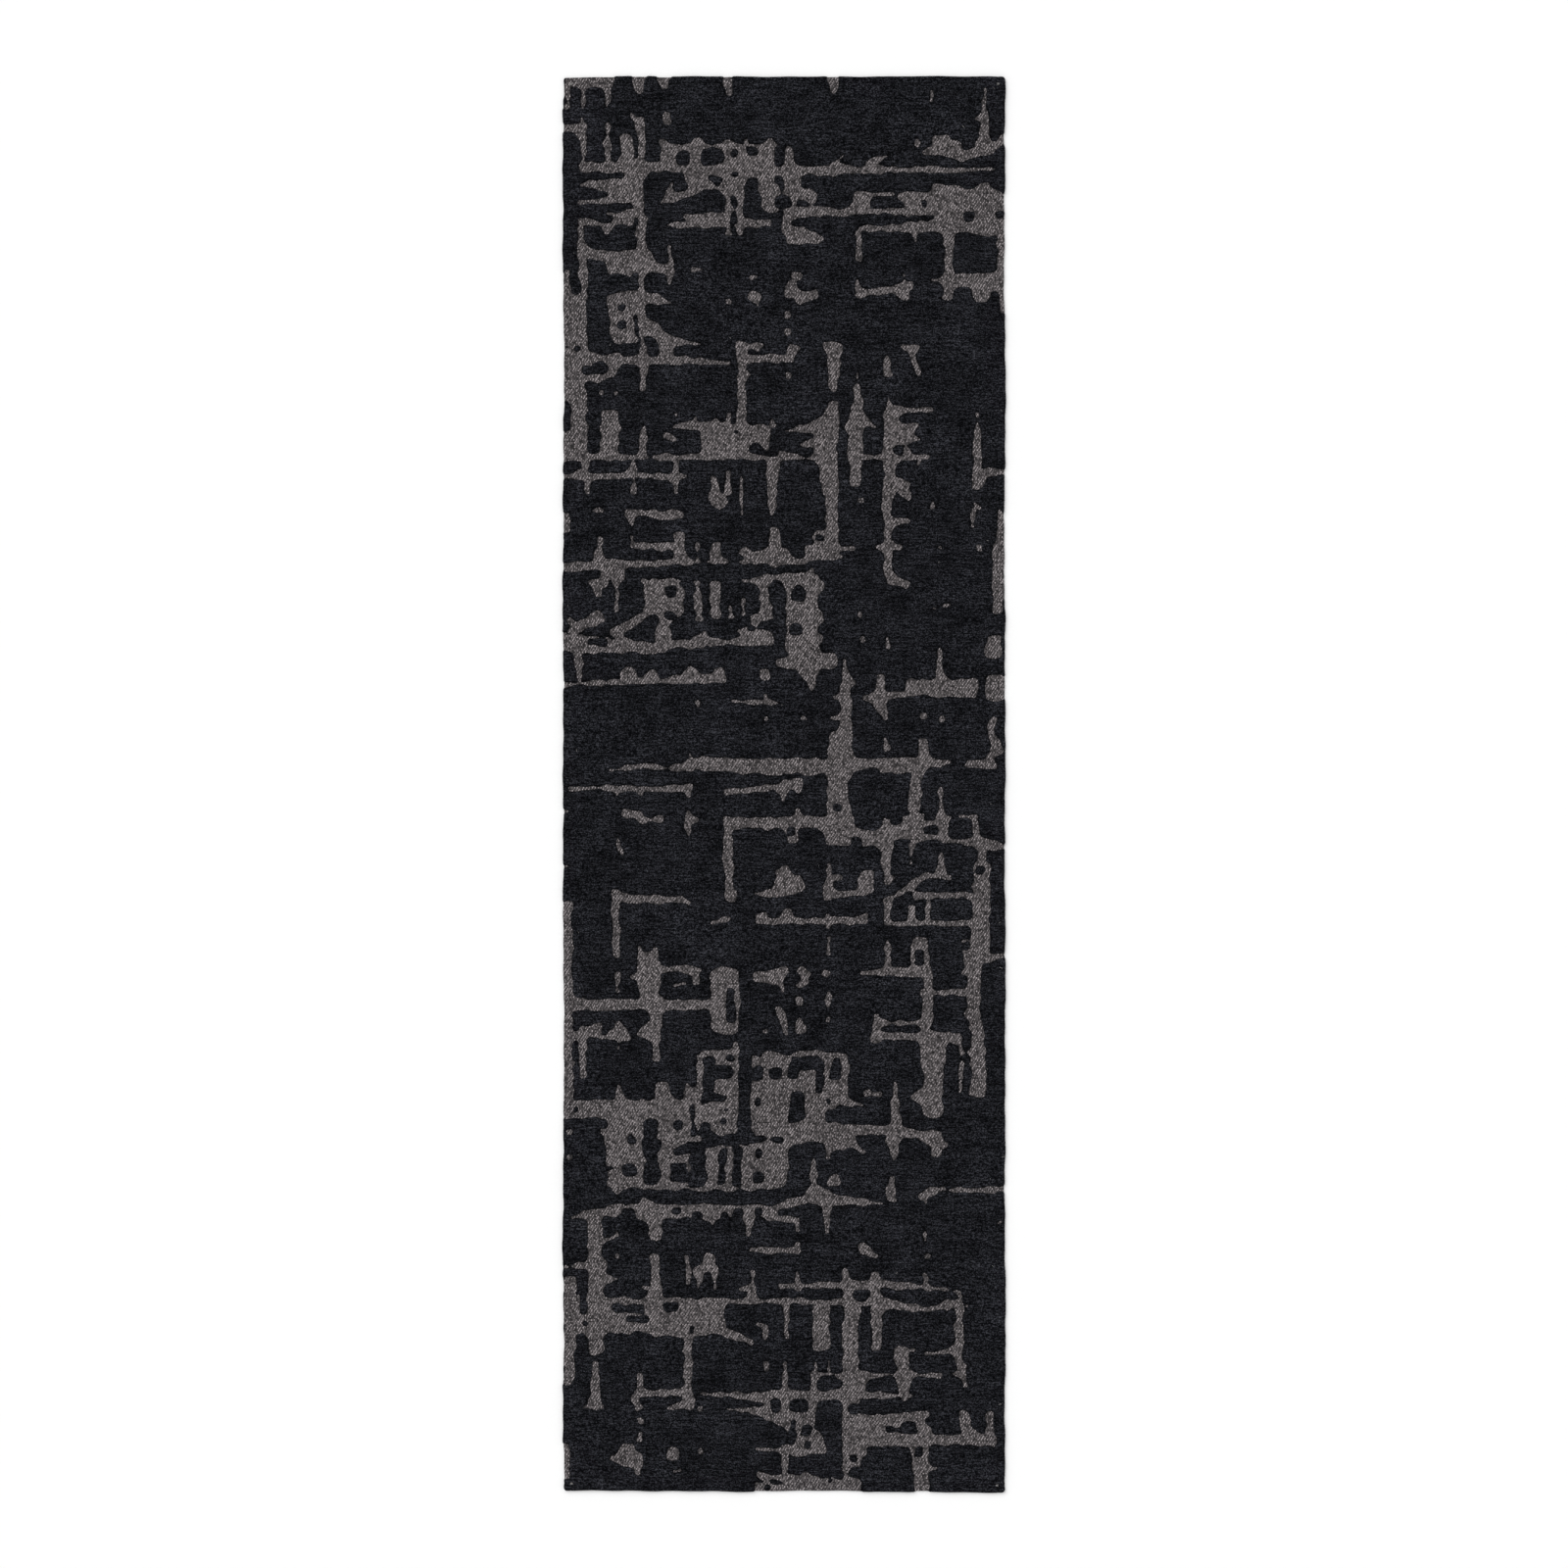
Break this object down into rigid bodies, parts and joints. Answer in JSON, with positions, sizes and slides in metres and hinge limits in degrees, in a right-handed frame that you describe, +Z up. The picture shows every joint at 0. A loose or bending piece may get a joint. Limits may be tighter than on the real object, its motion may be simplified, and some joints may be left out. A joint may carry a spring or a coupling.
{
  "type": "runner rug",
  "caption": "Long narrow woven floor runner with a raised chenille pile figure on a flat twill ground, mitred turned-under hems and a latex-coated back.",
  "frame": {"origin": "centre of the underside, where the rug rests on the floor", "axes": "+Z up out of the floor, +Y along the rug's length towards its back end, +X across its width"},
  "size_m": [0.75, 2.4, 0.0055],
  "materials": {
    "chenille": "soft matt chenille pile, near black",
    "ground_weave": "flat twill weave in warm grey and black yarns",
    "hem_cloth": "reverse of the woven cloth, turned under and pressed flat",
    "latex": "matt latex coat over the woven back",
    "thread": "twisted polyester sewing thread"
  },
  "bodies": {
    "root": {"latex_backing": "latex", "ground_weave": "ground_weave", "chenille_pile": "chenille", "hem_back": "hem_cloth", "hem_front": "hem_cloth", "hem_left": "hem_cloth", "hem_right": "hem_cloth", "hem_seam_back": "thread", "hem_seam_front": "thread", "hem_seam_left": "thread", "hem_seam_right": "thread", "corner_tack_back_left": "thread", "corner_tack_back_right": "thread", "corner_tack_front_left": "thread", "corner_tack_front_right": "thread"}
  },
  "joints": []
}
